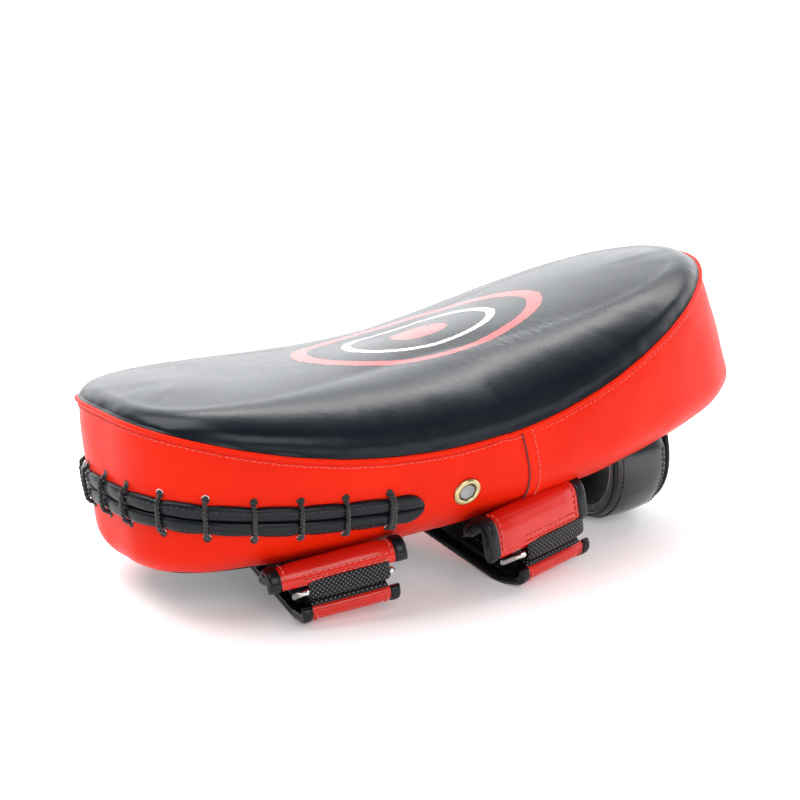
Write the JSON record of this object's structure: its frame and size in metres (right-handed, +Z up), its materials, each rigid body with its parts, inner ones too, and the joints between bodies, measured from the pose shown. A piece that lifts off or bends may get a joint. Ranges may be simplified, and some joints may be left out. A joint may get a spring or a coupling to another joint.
{
  "type": "thai pad",
  "caption": "Curved kick pad with a laced padded body, buckled forearm straps and a padded grip, standing on its straps and grip.",
  "frame": {"origin": "on the floor, under the middle of the pad's bounding box", "axes": "+X along the pad towards the hand end and its grip, -Y towards the long side where the straps' rings are, +Z up out of the floor, roughly out of the striking face"},
  "size_m": [0.3864, 0.1831, 0.1541],
  "materials": {
    "black_vinyl": "glossy",
    "red_vinyl": "glossy",
    "black_lining": "matt",
    "foam": "matt",
    "board": "matt",
    "black_cord": "satin",
    "webbing": "woven",
    "hook_and_loop": "brushed",
    "ring_wire": "polished",
    "eyelet_brass": "polished",
    "screen": "woven"
  },
  "bodies": {
    "pad": {"strike_cover": "black_vinyl", "side_panel_elbow": "red_vinyl", "side_panel_hand": "red_vinyl", "back_cover": "black_lining", "strike_foam": "foam", "core_foam": "foam", "back_board": "board", "seam_welt": "red_vinyl", "lace_strip_upper": "black_vinyl", "lace_strip_lower": "black_vinyl", "lacing_cord": "black_cord", "vent_eyelets": "eyelet_brass", "vent_washers": "eyelet_brass", "vent_screens": "screen", "strap_root_patches": "black_vinyl", "grip_cover": "black_vinyl", "grip_core": "foam", "grip_webbing": "webbing", "grip_tabs": "black_vinyl", "grip_piping": "black_vinyl", "strap_1_anchor": "red_vinyl", "strap_1_anchor_binding": "black_vinyl", "strap_1_webbing": "webbing", "strap_1_wrap": "red_vinyl", "strap_1_wrap_binding": "black_vinyl", "strap_1_loop_patch": "hook_and_loop", "strap_2_anchor": "red_vinyl", "strap_2_anchor_binding": "black_vinyl", "strap_2_webbing": "webbing", "strap_2_wrap": "red_vinyl", "strap_2_wrap_binding": "black_vinyl", "strap_2_loop_patch": "hook_and_loop"},
    "ring_1": {"strap_1_ring": "ring_wire"},
    "tail_1": {"strap_1_tail": "red_vinyl", "strap_1_hook_patch": "hook_and_loop"},
    "ring_2": {"strap_2_ring": "ring_wire"},
    "tail_2": {"strap_2_tail": "red_vinyl", "strap_2_hook_patch": "hook_and_loop"}
  },
  "joints": [
    {"name": "ring_1_tilt", "type": "hinge", "parent": "pad", "child": "ring_1", "pos_m": [-0.09012, -0.07775, 0.02336], "axis": [0.9807, -0.138, 0.1385], "range_deg": [-5, 5]},
    {"name": "tail_1_lift", "type": "hinge", "parent": "pad", "child": "tail_1", "pos_m": [-0.08675, -0.06301, 0.01422], "axis": [0.9807, -0.138, 0.1385], "range_deg": [0, 9]},
    {"name": "ring_2_tilt", "type": "hinge", "parent": "pad", "child": "ring_2", "pos_m": [0.03706, -0.07426, 0.02226], "axis": [0.9628, 0.2567, 0.0846], "range_deg": [-5, 5]},
    {"name": "tail_2_lift", "type": "hinge", "parent": "pad", "child": "tail_2", "pos_m": [0.0341, -0.0599, 0.0124], "axis": [0.9628, 0.2567, 0.0846], "range_deg": [0, 16]}
  ]
}
